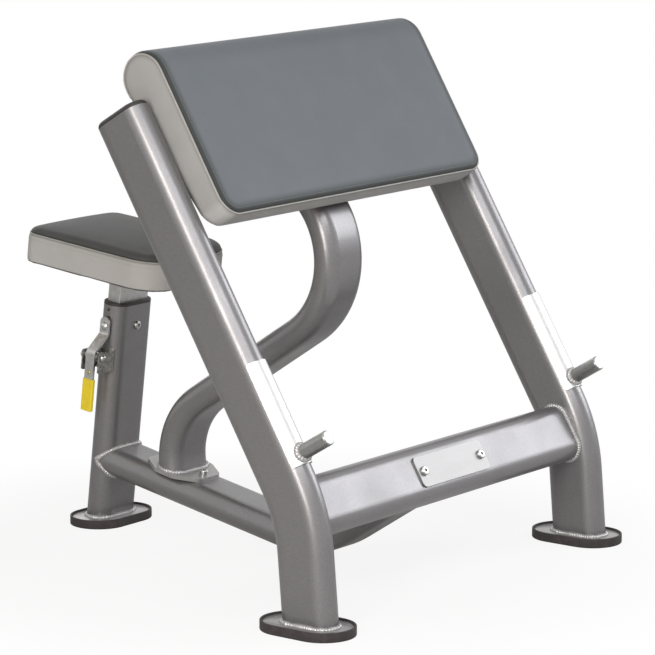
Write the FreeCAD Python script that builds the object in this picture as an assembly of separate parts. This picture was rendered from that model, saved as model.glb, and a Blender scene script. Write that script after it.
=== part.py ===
import FreeCAD, Part
import math
import os

# Preacher curl bench: two bent flat-oval legs carry a wedge-shaped arm pad, a base beam
# runs back to a leaning seat post, and the seat slides in that post behind a spring lever.
# Millimetres, +Z up, X across the bench, the arm pad faces -Y, the seat is on the +Y side.

# Flat-oval frame tube
tube_wide = 100.0
tube_narrow = 50.0
tube_wall = 3.0

# Front legs: floor line, one bend, long upper part leaning towards the seat
leg_spacing = 770.0
leg_floor_y = -387.5
leg_lower_lean = 4.9
leg_upper_lean = 31.1
leg_bend_height = 188.0
leg_bend_radius = 260.0
leg_upper_length = 703.0
cap_thickness = 9.0
cap_round = 8.0
cap_plug_depth = 18.0
cap_plug_wall = 3.0
cap_plug_fit = 0.2

# Feet: welded steel plates inside rubber cups
foot_radius = 78.5
foot_width = 100.0
foot_height = 16.0
foot_floor = 6.0
foot_lip = 4.0
foot_fit = 0.3
foot_edge_round = 2.0
foot_plate_thickness = 7.0
front_foot_shift = 6.5
rear_foot_shift = -4.0

# Seat post, crossbeam and base beam
post_floor_y = 365.0
post_lean = 6.8
post_length = 404.0
cross_rise = 6.0
beam_slope = 10.9
beam_bend_y = -122.0
beam_bend_height = 29.0
beam_bend_radius = 165.0

# Curved support tube between base beam and arm pad
support_foot_y = 197.0
support_bend_y = 201.5
support_bend_height = 208.0
support_bend_radius = 131.0
support_rise = 33.3
support_top_radius = 151.0
support_top_length = 330.0
flange_length = 122.0
flange_width = 110.0
flange_tip_width = 54.0
flange_shoulder = 40.0
flange_thickness = 7.0
flange_corner = 14.0
flange_bolt_distance = 91.0

# Arm pad, placed along and in front of the upper legs
pad_start = 477.0
pad_length = 314.0
pad_front_offset = 90.5
pad_roll_radius = 46.0
pad_low_thickness = 54.0
pad_side_gap = 2.5
pad_corner = 33.0
pad_crown = 11.0
pad_edge_crown = 3.0
pad_front_round = 9.0
pad_back_round = 5.0
pad_draw = 2.0
pad_trim = 3.0
pad_board_thickness = 18.0
pad_board_margin = 14.0
pad_board_length = 225.0
pad_board_fit = 0.3
pad_plate_width = 160.0
pad_plate_length = 140.0
pad_plate_thickness = 8.0
pad_plate_start = 48.0
pad_plate_corner = 12.0
pad_bolt_inset = 16.0

# Bar rests: curved saddle plates on the leg fronts, each with a peg
saddle_start = 68.0
saddle_length = 180.0
saddle_thickness = 3.0
saddle_half_angle = 62.0
saddle_corner = 6.0
peg_diameter = 25.0
peg_length = 58.0
peg_height = 86.0
peg_chamfer = 2.0

# Bare plate on the crossbeam
name_plate_width = 190.0
name_plate_height = 54.0
name_plate_thickness = 3.0
name_plate_corner = 9.0
name_plate_screw_spacing = 160.0

# Seat tube and guide bushing
seat_tube_wall = 2.5
seat_tube_corner = 1.5
seat_tube_length = 302.0
seat_hole_diameter = 11.0
seat_hole_pitch = 25.0
seat_hole_count = 7
bushing_side_wall = 9.0
bushing_face_wall = 8.0
bushing_rim = 5.0
bushing_length = 70.0
bushing_fit = 0.1
bushing_slide_gap = 0.2
bushing_rim_round = 1.5
bushing_notch = 6.0
bushing_nub_diameter = 6.0
bushing_nub_drop = 8.0
bushing_nub_length = 8.0

# Seat
seat_rise = 58.0
seat_length = 294.0
seat_shift = 3.0
seat_rear_width = 247.0
seat_front_width = 222.0
seat_rear_corner = 30.0
seat_front_corner = 56.0
seat_band = 52.0
seat_crown = 18.0
seat_shoulder = 11.0
seat_shoulder_inset = 9.0
seat_top_inset = 42.0
seat_draw = 2.5
seat_board_thickness = 15.0
seat_board_margin = 8.0
seat_board_fit = 0.3
seat_plate_length = 150.0
seat_plate_width = 130.0
seat_plate_thickness = 6.0
seat_plate_corner = 10.0
seat_screw_inset = 14.0

# Seat lever, its bracket and the locking pin, with drops measured from the top of the post
pivot_offset = 28.0
pivot_drop = 88.0
pivot_bolt_diameter = 8.0
pivot_fit = 0.1
sleeve_diameter = 16.0
lever_width = 20.0
lever_thickness = 4.0
lever_tab_gap = 4.0
lever_top_drop = 20.0
lever_bend_drop = 51.0
lever_low_bend_drop = 79.0
lever_inner_round = 6.0
lever_end_drop = 182.0
grip_drop = 128.0
grip_length = 58.0
grip_width = 24.0
grip_thickness = 8.0
grip_round = 2.5
grip_end_round = 2.0
pin_drop = 37.0
pin_diameter = 10.0
pin_head_diameter = 15.0
pin_head_height = 4.0
pin_end_gap = 0.3
pin_chamfer = 1.2
pin_slot_gap = 0.6
pin_slot_rise = 12.0
ear_gap = 34.0
ear_thickness = 3.0
ear_drop = 78.0
ear_height = 37.0
ear_reach = 39.0
ear_corner = 4.0
ear_side_gap = 0.3
spring_wire = 1.8
spring_pitch = 2.5
spring_turns = 1.5
spring_gap = 0.6
spring_leg = 12.0

# Fasteners
bolt_diameter = 8.0
bolt_head_across = 13.0
bolt_head_height = 5.5
bolt_hole_gap = 0.4
washer_diameter = 17.0
washer_thickness = 1.6
screw_diameter = 6.0
screw_head_diameter = 13.0
screw_head_height = 4.5
screw_socket = 4.0
screw_socket_depth = 2.4
nut_across = 13.0
nut_height = 6.5
thread_grip = 12.0
cut_overrun = 5.0

# Sizes and heights that follow from the ones above, heights along the post from its foot
seat_tube_wide = tube_wide - 2 * (tube_wall + bushing_side_wall)
seat_tube_deep = tube_narrow - 2 * (tube_wall + bushing_face_wall)
seat_bottom = post_length + seat_rise
seat_tube_bottom = seat_bottom - seat_plate_thickness - seat_tube_length
pin_height = post_length - pin_drop
pivot_height = post_length - pivot_drop
lever_top = post_length - lever_top_drop
lever_bend_height = post_length - lever_bend_drop
lever_low_bend_height = post_length - lever_low_bend_drop
lever_end_height = post_length - lever_end_drop
grip_top = post_length - grip_drop
grip_bottom = grip_top - grip_length
ear_top = post_length - ear_drop
ear_bottom = ear_top - ear_height

V = FreeCAD.Vector
ORIGIN = V(0, 0, 0)
ACROSS = V(1, 0, 0)
BACK = V(0, 1, 0)
UP = V(0, 0, 1)


def unit(vector):
    return vector * (1.0 / vector.Length)


def leaning(angle):
    """Upward direction in the middle plane, leaning towards the seat by angle degrees."""
    turn = math.radians(angle)
    return V(0, math.sin(turn), math.cos(turn))


def rising(angle):
    """Direction towards the seat in the middle plane, rising by angle degrees."""
    turn = math.radians(angle)
    return V(0, math.cos(turn), math.sin(turn))


def line(start, end):
    return Part.LineSegment(start, end).toShape()


def arc(start, middle, end):
    return Part.Arc(start, middle, end).toShape()


def corner(before, at, after, radius):
    """Start, middle and end of the arc that rounds one corner."""
    to_before = unit(before - at)
    to_after = unit(after - at)
    half = math.acos(to_before.dot(to_after)) / 2
    bisector = unit(to_before + to_after)
    reach = radius / math.tan(half)
    middle = at + bisector * (radius / math.sin(half) - radius)
    return at + to_before * reach, middle, at + to_after * reach


def bent(points, radii):
    """Open path of straight runs joined by tangent arcs."""
    edges = []
    last = points[0]
    for index, radius in enumerate(radii):
        start, middle, end = corner(points[index], points[index + 1], points[index + 2], radius)
        edges.append(line(last, start))
        edges.append(arc(start, middle, end))
        last = end
    edges.append(line(last, points[-1]))
    return Part.Wire(edges)


def rounded(points, radii, draw=0):
    """Closed outline with rounded corners, its sides drawn in at their middles by draw."""
    count = len(points)
    rounds = [corner(points[i - 1], points[i], points[(i + 1) % count], radii[i]) for i in range(count)]
    centre = sum(points, ORIGIN) * (1.0 / count)
    edges = []
    for index in range(count):
        start, middle, end = rounds[index]
        following = rounds[(index + 1) % count][0]
        edges.append(arc(start, middle, end))
        halfway = (end + following) * 0.5
        if draw:
            edges.append(arc(end, halfway + unit(centre - halfway) * draw, following))
        else:
            edges.append(line(end, following))
    return Part.Wire(edges)


def rectangle(centre, along, aside, length, width, radius):
    """Rounded rectangle centred on a point."""
    far = along * (length / 2)
    side = aside * (width / 2)
    points = [centre + far + side, centre - far + side, centre - far - side, centre + far - side]
    return rounded(points, [radius] * 4)


def stadium(centre, wide_way, narrow_way, wide, narrow):
    """Flat-oval outline with half-round ends."""
    side = narrow_way * (narrow / 2)
    end = wide_way * ((wide - narrow) / 2)
    tip = wide_way * (wide / 2)
    return Part.Wire([
        line(centre + end + side, centre - end + side),
        arc(centre - end + side, centre - tip, centre - end - side),
        line(centre - end - side, centre + end - side),
        arc(centre + end - side, centre + tip, centre + end + side)])


def double_d(centre, long_way, short_way, radius, width):
    """Round outline cut by two flats."""
    flat = long_way * math.sqrt(radius ** 2 - (width / 2) ** 2)
    side = short_way * (width / 2)
    tip = long_way * radius
    return Part.Wire([
        line(centre + flat + side, centre - flat + side),
        arc(centre - flat + side, centre - tip, centre - flat - side),
        line(centre - flat - side, centre + flat - side),
        arc(centre + flat - side, centre + tip, centre + flat + side)])


def prism(outline, way):
    return Part.Face(outline).extrude(way)


def rod(start, way, length, diameter):
    return Part.makeCylinder(diameter / 2, length, start, way)


def swept(path, wide_way, wide, narrow):
    """Solid flat-oval bar along a path."""
    first = path.OrderedEdges[0]
    start = path.OrderedVertexes[0].Point
    run = unit(first.tangentAt(first.FirstParameter))
    profile = stadium(start, wide_way, run.cross(wide_way), wide, narrow)
    return path.makePipeShell([profile], True, False)


def frame_bar(path, wide_way):
    return swept(path, wide_way, tube_wide, tube_narrow)


def frame_bore(path, wide_way):
    return swept(path, wide_way, tube_wide - 2 * tube_wall, tube_narrow - 2 * tube_wall)


def hexagon(centre, along, aside, across):
    """Six-sided outline, across its flats."""
    radius = across / math.sqrt(3)
    points = []
    for step in range(6):
        turn = math.radians(60 * step)
        points.append(centre + along * (radius * math.cos(turn)) + aside * (radius * math.sin(turn)))
    return Part.Wire([line(points[i - 1], points[i]) for i in range(6)])


def hex_bolt(seat, way, aside, grip):
    """Hex bolt with a washer under its head: seat is where the washer rests, way points out."""
    washer = rod(seat, way, washer_thickness, washer_diameter)
    head_base = seat + way * washer_thickness
    head = prism(hexagon(head_base, aside, way.cross(aside), bolt_head_across), way * bolt_head_height)
    shank = rod(seat - way * grip, way, grip + washer_thickness, bolt_diameter)
    return washer.fuse(head).fuse(shank).removeSplitter()


def button_screw(seat, way, aside, grip, diameter=screw_diameter):
    """Domed screw with a hexagon socket."""
    dome_radius = (screw_head_diameter ** 2 / 4 + screw_head_height ** 2) / (2 * screw_head_height)
    top = seat + way * screw_head_height
    ball = Part.makeSphere(dome_radius, top - way * dome_radius)
    dome = ball.common(rod(seat, way, screw_head_height, screw_head_diameter))
    socket_base = top - way * screw_socket_depth
    socket = prism(hexagon(socket_base, aside, way.cross(aside), screw_socket), way * screw_head_height)
    return dome.cut(socket).fuse(rod(seat - way * grip, way, grip, diameter)).removeSplitter()


# Legs: shared geometry in the middle plane, moved to each side afterwards
lower_way = leaning(leg_lower_lean)
upper_way = leaning(leg_upper_lean)
front_way = V(0, -upper_way.z, upper_way.y)
leg_bend = V(0, leg_floor_y, 0) + lower_way * (leg_bend_height / lower_way.z)
leg_end = leg_bend + upper_way * leg_upper_length
leg_path = bent([V(0, leg_floor_y, 0), leg_bend, leg_end], [leg_bend_radius])
leg_inner_x = leg_spacing / 2 - tube_narrow / 2
plate_top = foot_floor + foot_plate_thickness
bend_half = math.radians(leg_upper_lean - leg_lower_lean) / 2
bend_inside = leg_bend_radius / math.cos(bend_half) - leg_bend_radius
bend_centre = leg_bend + unit(upper_way - lower_way) * bend_inside
cross_centre = bend_centre + upper_way * cross_rise


def on_leg(front, along, across=0):
    """Point measured in front of the upper leg's axis, along it from the bend, and across."""
    return leg_bend + front_way * front + upper_way * along + ACROSS * across


def floor_block():
    """Everything below the top of the foot plates."""
    size = leg_spacing * 2
    return Part.makeBox(size, size, size, V(-size / 2, -size / 2, plate_top - size))


def leg(side):
    wide_way = unit(lower_way.cross(ACROSS))
    bar = frame_bar(leg_path, wide_way).cut(frame_bore(leg_path, wide_way)).cut(floor_block())
    bar.translate(ACROSS * (side * leg_spacing / 2))
    return bar


def leg_cap(side):
    base = leg_end + ACROSS * (side * leg_spacing / 2)
    lid = prism(stadium(base, front_way, ACROSS, tube_wide, tube_narrow), upper_way * cap_thickness)
    rim = [edge for edge in lid.Edges if (edge.CenterOfMass - base).dot(upper_way) > cap_thickness / 2]
    lid = lid.makeFillet(cap_round, rim)
    wide = tube_wide - 2 * (tube_wall + cap_plug_fit)
    narrow = tube_narrow - 2 * (tube_wall + cap_plug_fit)
    hollow_wide = wide - 2 * cap_plug_wall
    hollow_narrow = narrow - 2 * cap_plug_wall
    depth = upper_way * -cap_plug_depth
    plug = prism(stadium(base, front_way, ACROSS, wide, narrow), depth)
    plug = plug.cut(prism(stadium(base, front_way, ACROSS, hollow_wide, hollow_narrow), depth))
    return lid.fuse(plug).removeSplitter()


front_foot_y = leg_floor_y + front_foot_shift
FEET = {
    "left": (V(-leg_spacing / 2, front_foot_y, 0), BACK, ACROSS),
    "right": (V(leg_spacing / 2, front_foot_y, 0), BACK, ACROSS),
    "rear": (V(0, post_floor_y + rear_foot_shift, 0), ACROSS, BACK)}


def foot_plate(name):
    place, long_way, short_way = FEET[name]
    inset = foot_lip + foot_fit
    outline = double_d(place + UP * foot_floor, long_way, short_way,
                       foot_radius - inset, foot_width - 2 * inset)
    return prism(outline, UP * foot_plate_thickness)


def rubber_foot(name):
    place, long_way, short_way = FEET[name]
    cup = prism(double_d(place, long_way, short_way, foot_radius, foot_width), UP * foot_height)
    bottom = [edge for edge in cup.Edges if edge.BoundBox.ZMax < foot_floor]
    cup = cup.makeFillet(foot_edge_round, bottom)
    pocket = double_d(place + UP * foot_floor, long_way, short_way,
                      foot_radius - foot_lip, foot_width - 2 * foot_lip)
    return cup.cut(prism(pocket, UP * foot_height))


def crossbeam_bar():
    outline = stadium(cross_centre - ACROSS * leg_inner_x, upper_way, front_way, tube_wide, tube_narrow)
    return prism(outline, ACROSS * (2 * leg_inner_x))


def crossbeam():
    wide = tube_wide - 2 * tube_wall
    narrow = tube_narrow - 2 * tube_wall
    bore = stadium(cross_centre - ACROSS * leg_inner_x, upper_way, front_way, wide, narrow)
    bar = crossbeam_bar().cut(prism(bore, ACROSS * (2 * leg_inner_x)))
    for place in name_plate_places():
        depth = name_plate_thickness + tube_wall + cut_overrun
        hole_start = place - front_way * (tube_wall + cut_overrun)
        bar = bar.cut(rod(hole_start, front_way, depth, screw_diameter + bolt_hole_gap))
    return bar


# Seat post: its own frame leans forward, so its pieces are drawn upright and then placed
post_base = V(0, post_floor_y, 0)
post_way = leaning(-post_lean)
POST_PLACE = FreeCAD.Placement(post_base, FreeCAD.Rotation(ACROSS, post_lean))


def on_post(shape):
    shape.Placement = POST_PLACE.multiply(shape.Placement)
    return shape


def post_bar(length):
    return on_post(prism(stadium(ORIGIN, ACROSS, BACK, tube_wide, tube_narrow), UP * length))


def pin_slot(reach):
    """Upright slot through the post's side that lets the pin swing out with the lever."""
    size = pin_diameter + 2 * pin_slot_gap
    middle = V(-reach, 0, pin_height + pin_slot_rise / 2)
    outline = stadium(middle, UP, BACK, size + pin_slot_rise, size)
    return prism(outline, ACROSS * (reach - seat_tube_wide / 2 + seat_tube_wall))


def post_screw_place():
    return V(0, -tube_narrow / 2, pin_height)


def seat_post():
    bore = stadium(ORIGIN, ACROSS, BACK, tube_wide - 2 * tube_wall, tube_narrow - 2 * tube_wall)
    tube = prism(stadium(ORIGIN, ACROSS, BACK, tube_wide, tube_narrow), UP * post_length)
    tube = tube.cut(prism(bore, UP * post_length))
    tube = tube.cut(pin_slot(tube_wide / 2 + cut_overrun))
    nub_start = V(-tube_wide / 2 - cut_overrun, 0, post_length - bushing_nub_drop)
    tube = tube.cut(rod(nub_start, ACROSS, tube_wall + 2 * cut_overrun, bushing_nub_diameter))
    screw_start = post_screw_place() - BACK * cut_overrun
    tube = tube.cut(rod(screw_start, BACK, tube_wall + 2 * cut_overrun, screw_diameter + bolt_hole_gap))
    return on_post(tube).cut(floor_block())


def post_bushing():
    bottom = V(0, 0, post_length - bushing_length)
    wide = tube_wide - 2 * (tube_wall + bushing_fit)
    narrow = tube_narrow - 2 * (tube_wall + bushing_fit)
    sleeve = prism(stadium(bottom, ACROSS, BACK, wide, narrow), UP * bushing_length)
    top = V(0, 0, post_length)
    rim = prism(stadium(top, ACROSS, BACK, tube_wide, tube_narrow), UP * bushing_rim)
    upper = [edge for edge in rim.Edges if edge.BoundBox.ZMin > post_length + bushing_rim / 2]
    body = sleeve.fuse(rim.makeFillet(bushing_rim_round, upper))
    guide_wide = seat_tube_wide + 2 * bushing_slide_gap
    guide_deep = seat_tube_deep + 2 * bushing_slide_gap
    guide = rectangle(bottom, ACROSS, BACK, guide_wide, guide_deep, seat_tube_corner)
    body = body.cut(prism(guide, UP * (bushing_length + bushing_rim)))
    for x, y in ((-seat_tube_wide / 2, 0), (-seat_tube_wide / 4, -seat_tube_deep / 2)):
        body = body.cut(rod(V(x, y, post_length), UP, bushing_rim + cut_overrun, bushing_notch))
    nub_start = V(-tube_wide / 2, 0, post_length - bushing_nub_drop)
    nub = rod(nub_start, ACROSS, bushing_nub_length, bushing_nub_diameter - bushing_fit)
    screw_hole = rod(post_screw_place(), BACK, tube_narrow / 2, screw_diameter + bolt_hole_gap)
    body = body.fuse(nub).cut(pin_slot(tube_wide / 2)).cut(screw_hole)
    return on_post(body.removeSplitter())


def bushing_screw():
    grip = tube_wall + bushing_face_wall - bushing_slide_gap - bolt_hole_gap
    return on_post(button_screw(post_screw_place(), BACK * -1, ACROSS, grip))


# Base beam: falls from the post towards the front, then bends up to the crossbeam
beam_way = rising(beam_slope)
beam_top_way = V(0, -beam_way.z, beam_way.y)
beam_bend = V(0, beam_bend_y, beam_bend_height)


def meeting(start, way, other, other_way):
    """Where two lines in the middle plane cross."""
    gap = other - start
    spread = way.y * other_way.z - way.z * other_way.y
    return start + way * ((gap.y * other_way.z - gap.z * other_way.y) / spread)


beam_rear = meeting(beam_bend, beam_way, post_base, post_way)
beam_path = bent([beam_rear, beam_bend, bend_centre], [beam_bend_radius])


def base_beam():
    beam = frame_bar(beam_path, ACROSS).cut(frame_bore(beam_path, ACROSS))
    beam = beam.cut(post_bar(post_length)).cut(crossbeam_bar())
    for place in flange_bolt_places():
        hole_start = place - beam_top_way * (flange_thickness + tube_wall + cut_overrun)
        length = tube_wall + flange_thickness + cut_overrun
        beam = beam.cut(rod(hole_start, beam_top_way, length, bolt_diameter + bolt_hole_gap))
    return beam


# Arm pad profile: flat front with a crown, half-round roll at the top, tapered back
pad_half_width = leg_inner_x - pad_side_gap
pad_end = pad_start + pad_length
roll_front = pad_front_offset - pad_roll_radius
roll_along = pad_end - pad_roll_radius
low_back_front = pad_front_offset - pad_low_thickness
low_back = on_leg(low_back_front, pad_start)
roll_reach = math.hypot(roll_front - low_back_front, roll_along - pad_start)
roll_turn = math.atan2(roll_front - low_back_front, roll_along - pad_start)
back_turn = math.asin(pad_roll_radius / roll_reach) - roll_turn
back_way = upper_way * math.cos(back_turn) - front_way * math.sin(back_turn)
behind_way = front_way * -math.cos(back_turn) - upper_way * math.sin(back_turn)


def on_pad_back(along, behind, across=0):
    """Point along the pad's back from its lower edge, behind it, and across."""
    return low_back + back_way * along + behind_way * behind + ACROSS * across


def pad_section(across, crown):
    """Closed side profile of the pad at one place across it."""
    side = ACROSS * across
    roll = on_leg(roll_front, roll_along) + side
    roll_start = roll + front_way * pad_roll_radius
    roll_top = roll + upper_way * pad_roll_radius
    roll_end = roll + behind_way * pad_roll_radius
    diagonal = pad_roll_radius * math.sqrt(0.5)
    back_middle = roll + unit(upper_way + behind_way) * pad_roll_radius
    low_front = on_leg(pad_front_offset, pad_start) + side
    back = low_back + side
    front_a, front_m, front_b = corner(back, low_front, roll_start, pad_front_round)
    back_a, back_m, back_b = corner(roll_end, back, low_front, pad_back_round)
    bulge = (front_b + roll_start) * 0.5 + front_way * crown
    return Part.Wire([
        arc(front_a, front_m, front_b),
        arc(front_b, bulge, roll_start),
        arc(roll_start, roll + (front_way + upper_way) * diagonal, roll_top),
        arc(roll_top, back_middle, roll_end),
        line(roll_end, back_a),
        arc(back_a, back_m, back_b),
        line(back_b, front_a)])


def arm_pad_board():
    half = pad_half_width - pad_board_margin
    outline = rectangle(on_pad_back(pad_board_margin + pad_board_length / 2, 0), back_way, ACROSS,
                        pad_board_length, 2 * half, pad_corner - pad_board_margin)
    board = prism(outline, behind_way * -pad_board_thickness)
    for place in pad_bolt_places():
        hole_start = place + behind_way * cut_overrun
        length = pad_plate_thickness + thread_grip + cut_overrun
        board = board.cut(rod(hole_start, behind_way * -1, length, bolt_diameter + bolt_hole_gap))
    return board


def arm_pad_cushion():
    half = pad_half_width
    wide = half + cut_overrun
    stations = [(-wide, pad_edge_crown), (0, pad_crown), (wide, pad_edge_crown)]
    body = Part.makeLoft([pad_section(across, crown) for across, crown in stations], True, False)
    top = pad_end + pad_roll_radius
    low = pad_start - pad_trim
    corners = [(low, -half), (low, half), (top, half), (top, -half)]
    points = [on_leg(-tube_wide, along, across) for along, across in corners]
    outline = rounded(points, [pad_corner, pad_corner, cut_overrun, cut_overrun], pad_draw)
    body = body.common(prism(outline, front_way * (pad_front_offset + 2 * tube_wide)))
    grown = pad_board_length + 2 * pad_board_fit
    width = 2 * (pad_half_width - pad_board_margin + pad_board_fit)
    pocket = rectangle(on_pad_back(pad_board_margin + pad_board_length / 2, cut_overrun), back_way, ACROSS,
                       grown, width, pad_corner - pad_board_margin + pad_board_fit)
    depth = pad_board_thickness + pad_board_fit + cut_overrun
    return body.cut(prism(pocket, behind_way * -depth))


def pad_mount_plate():
    centre = on_pad_back(pad_plate_start + pad_plate_length / 2, 0)
    outline = rectangle(centre, back_way, ACROSS, pad_plate_length, pad_plate_width, pad_plate_corner)
    plate = prism(outline, behind_way * pad_plate_thickness)
    for place in pad_bolt_places():
        hole_start = place + behind_way * cut_overrun
        length = pad_plate_thickness + 2 * cut_overrun
        plate = plate.cut(rod(hole_start, behind_way * -1, length, bolt_diameter + bolt_hole_gap))
    return plate


def pad_bolt_places():
    """Seats of the pad bolts on the back of the mounting plate."""
    half_x = pad_plate_width / 2 - pad_bolt_inset
    ends = (pad_plate_start + pad_bolt_inset, pad_plate_start + pad_plate_length - pad_bolt_inset)
    return [on_pad_back(end, pad_plate_thickness, side * half_x) for end in ends for side in (-1, 1)]


def pad_bolts():
    grip = pad_plate_thickness + thread_grip
    return Part.Compound([hex_bolt(place, behind_way, ACROSS, grip) for place in pad_bolt_places()])


# Support tube: stands on the base beam, swings forward and ends flat along the pad's back
flange_base = meeting(beam_bend, beam_way, V(0, support_foot_y, 0), UP) + beam_top_way * (tube_narrow / 2)
support_bend = V(0, support_bend_y, support_bend_height)
diagonal_way = rising(-support_rise) * -1
end_line = on_pad_back(0, pad_plate_thickness + tube_narrow / 2)
support_top_bend = meeting(support_bend, diagonal_way, end_line, back_way)
support_end = support_top_bend + back_way * support_top_length
support_path = bent([flange_base, support_bend, support_top_bend, support_end],
                    [support_bend_radius, support_top_radius])


def flange_point(across, along, rise=0):
    return flange_base + ACROSS * across + beam_way * along + beam_top_way * rise


def flange_bolt_places():
    """Seats of the flange bolts on the flange's upper face."""
    half = flange_bolt_distance / 2
    return [flange_point(0, end, flange_thickness) for end in (-half, half)]


def support_tube():
    size = 2 * tube_wide
    below = Part.makeBox(size, size, size, V(-size / 2, -size / 2, -size))
    below.Placement = FreeCAD.Placement(flange_point(0, 0, flange_thickness),
                                        FreeCAD.Rotation(ACROSS, beam_slope))
    tube = frame_bar(support_path, ACROSS).cut(frame_bore(support_path, ACROSS))
    return tube.cut(below)


def support_flange():
    half = flange_width / 2
    tip = flange_tip_width / 2
    end = flange_length / 2
    shoulder = flange_shoulder / 2
    corners = [(half, shoulder), (tip, end), (-tip, end), (-half, shoulder),
               (-half, -shoulder), (-tip, -end), (tip, -end), (half, -shoulder)]
    outline = rounded([flange_point(x, y) for x, y in corners], [flange_corner] * len(corners))
    plate = prism(outline, beam_top_way * flange_thickness)
    for place in flange_bolt_places():
        hole_start = place - beam_top_way * (flange_thickness + cut_overrun)
        length = flange_thickness + 2 * cut_overrun
        plate = plate.cut(rod(hole_start, beam_top_way, length, bolt_diameter + bolt_hole_gap))
    return plate


def flange_bolts():
    grip = flange_thickness + tube_wall
    return Part.Compound([hex_bolt(place, beam_top_way, ACROSS, grip) for place in flange_bolt_places()])


# Bar rests
leg_round = tube_narrow / 2
leg_round_front = tube_wide / 2 - leg_round
saddle_radius = leg_round + saddle_thickness


def saddle_arc(radius, side_x, turn):
    half = math.radians(turn)
    out = leg_round_front + radius * math.cos(half)
    return on_leg(out, saddle_start, side_x + radius * math.sin(half))


def bar_saddle(side):
    x = side * leg_spacing / 2
    turns = (-saddle_half_angle, 0, saddle_half_angle)
    outer = [saddle_arc(saddle_radius, x, turn) for turn in turns]
    inner = [saddle_arc(leg_round, x, turn) for turn in turns]
    edges = [arc(*outer), line(outer[-1], inner[-1]), arc(*reversed(inner)), line(inner[0], outer[0])]
    outline = Part.Wire(edges)
    plate = prism(outline, upper_way * saddle_length)
    corners = [edge for edge in plate.Edges if edge.Length < saddle_thickness + saddle_corner / 2]
    return plate.makeFillet(saddle_corner, corners)


def bar_peg(side):
    x = side * leg_spacing / 2
    base = on_leg(leg_round_front, peg_height, x)
    length = saddle_radius + peg_length
    peg = rod(base, front_way, length, peg_diameter)
    tip = [edge for edge in peg.Edges if (edge.CenterOfMass - base).dot(front_way) > length / 2]
    peg = peg.makeChamfer(peg_chamfer, tip)
    seat = rod(on_leg(leg_round_front, saddle_start, x), upper_way, saddle_length, 2 * saddle_radius)
    return peg.cut(seat)


# Bare plate
def name_plate_places():
    """Seats of the plate's screws."""
    front = cross_centre + front_way * (tube_narrow / 2 + name_plate_thickness)
    half = name_plate_screw_spacing / 2
    return [front + ACROSS * (side * half) for side in (-1, 1)]


def name_plate():
    centre = cross_centre + front_way * (tube_narrow / 2)
    outline = rectangle(centre, ACROSS, upper_way, name_plate_width, name_plate_height, name_plate_corner)
    plate = prism(outline, front_way * name_plate_thickness)
    for place in name_plate_places():
        hole_start = place + front_way * cut_overrun
        length = name_plate_thickness + 2 * cut_overrun
        plate = plate.cut(rod(hole_start, front_way * -1, length, screw_diameter + bolt_hole_gap))
    return plate


def name_plate_screws():
    grip = name_plate_thickness + tube_wall
    return Part.Compound([button_screw(place, front_way, ACROSS, grip) for place in name_plate_places()])


# Seat lever group, drawn in the post's frame on its -X side
post_side = tube_wide / 2
pivot_x = -post_side - pivot_offset
pivot = V(pivot_x, 0, pivot_height)
bar_inner_x = pivot_x - sleeve_diameter / 2
tab_inner_x = -post_side - lever_tab_gap
pin_start_x = -seat_tube_wide / 2 - pin_end_gap


def lever_bracket():
    """Channel on the post's side with an ear on each side of the lever."""
    outer = ear_gap + 2 * ear_thickness
    height = ear_top - ear_bottom
    front_x = -post_side - ear_reach
    block = Part.makeBox(ear_reach, outer, height, V(front_x, -outer / 2, ear_bottom))
    front = [edge for edge in block.Edges if edge.BoundBox.XMax < front_x + ear_corner
             and edge.BoundBox.YLength > ear_gap]
    block = block.makeFillet(ear_corner, front)
    gap = Part.makeBox(ear_reach, ear_gap, height, V(front_x - ear_thickness, -ear_gap / 2, ear_bottom))
    hole = rod(V(pivot_x, -outer, pivot_height), BACK, 2 * outer, pivot_bolt_diameter + 2 * pivot_fit)
    return on_post(block.cut(gap).cut(hole))


def lever_sleeve():
    length = ear_gap - 2 * ear_side_gap
    start = V(pivot_x, -length / 2, pivot_height)
    tube = rod(start, BACK, length, sleeve_diameter)
    return on_post(tube.cut(rod(start, BACK, length, pivot_bolt_diameter + 2 * pivot_fit)))


def pivot_bolt():
    outer = ear_gap / 2 + ear_thickness
    seat = V(pivot_x, -outer, pivot_height)
    return on_post(button_screw(seat, BACK * -1, ACROSS, 2 * outer + nut_height, pivot_bolt_diameter))


def pivot_nut():
    seat = V(pivot_x, ear_gap / 2 + ear_thickness, pivot_height)
    nut = prism(hexagon(seat, ACROSS, UP, nut_across), BACK * nut_height)
    return on_post(nut.cut(rod(seat, BACK, nut_height, pivot_bolt_diameter)))


def lever_blank():
    """Flat bar joggled outwards below its upper tab, with a round top."""
    tab_x = tab_inner_x - lever_thickness / 2
    bar_x = bar_inner_x - lever_thickness / 2
    points = [V(tab_x, 0, lever_top), V(tab_x, 0, lever_bend_height),
              V(bar_x, 0, lever_low_bend_height), V(bar_x, 0, lever_end_height)]
    radius = lever_inner_round + lever_thickness / 2
    path = bent(points, [radius, radius])
    start = points[0]
    half = BACK * (lever_width / 2)
    side = ACROSS * (lever_thickness / 2)
    strip = Part.makePolygon([start - half - side, start + half - side, start + half + side,
                              start - half + side, start - half - side])
    bar = path.makePipeShell([strip], True, False)
    reach = sleeve_diameter + pivot_offset + post_side
    front = V(bar_inner_x - reach, 0, (lever_top + lever_end_height) / 2)
    shape = stadium(front, UP, BACK, lever_top - lever_end_height, lever_width)
    return bar.common(prism(shape, ACROSS * (2 * reach)))


def lever():
    bar = lever_blank()
    hole_start = V(tab_inner_x - lever_thickness - cut_overrun, 0, pin_height)
    bar = bar.cut(rod(hole_start, ACROSS, lever_thickness + 2 * cut_overrun, pin_diameter))
    return on_post(bar)


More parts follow.
